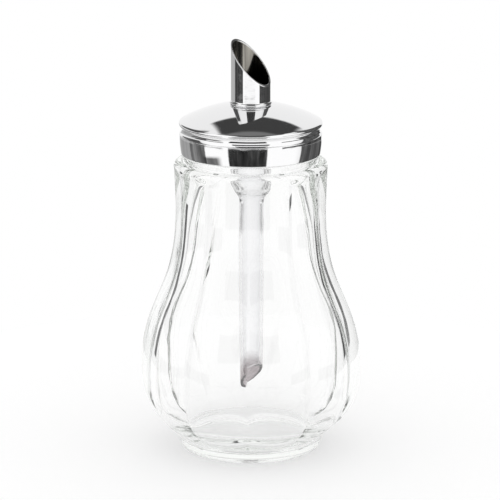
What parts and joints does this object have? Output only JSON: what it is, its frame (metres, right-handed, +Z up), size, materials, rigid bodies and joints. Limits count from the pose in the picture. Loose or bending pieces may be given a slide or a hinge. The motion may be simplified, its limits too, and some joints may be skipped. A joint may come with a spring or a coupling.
{
  "type": "sugar dispenser",
  "caption": "Fluted pear-shaped glass sugar dispenser with a chromed screw cap, a slant-cut pouring spout and a clear dosing tube inside.",
  "frame": {"origin": "centre of the foot's underside, on the surface the jar stands on", "axes": "+Z up along the jar's axis, the front faces -Y, +X to the right seen from the front"},
  "size_m": [0.08, 0.0786, 0.15],
  "materials": {
    "jar_glass": "clear pressed glass",
    "cap_chrome": "polished",
    "spout_chrome": "polished",
    "tube_plastic": "clear moulded plastic"
  },
  "bodies": {
    "root": {"glass_jar": "jar_glass", "cap": "cap_chrome", "spout": "spout_chrome", "dosing_tube": "tube_plastic"}
  },
  "joints": []
}
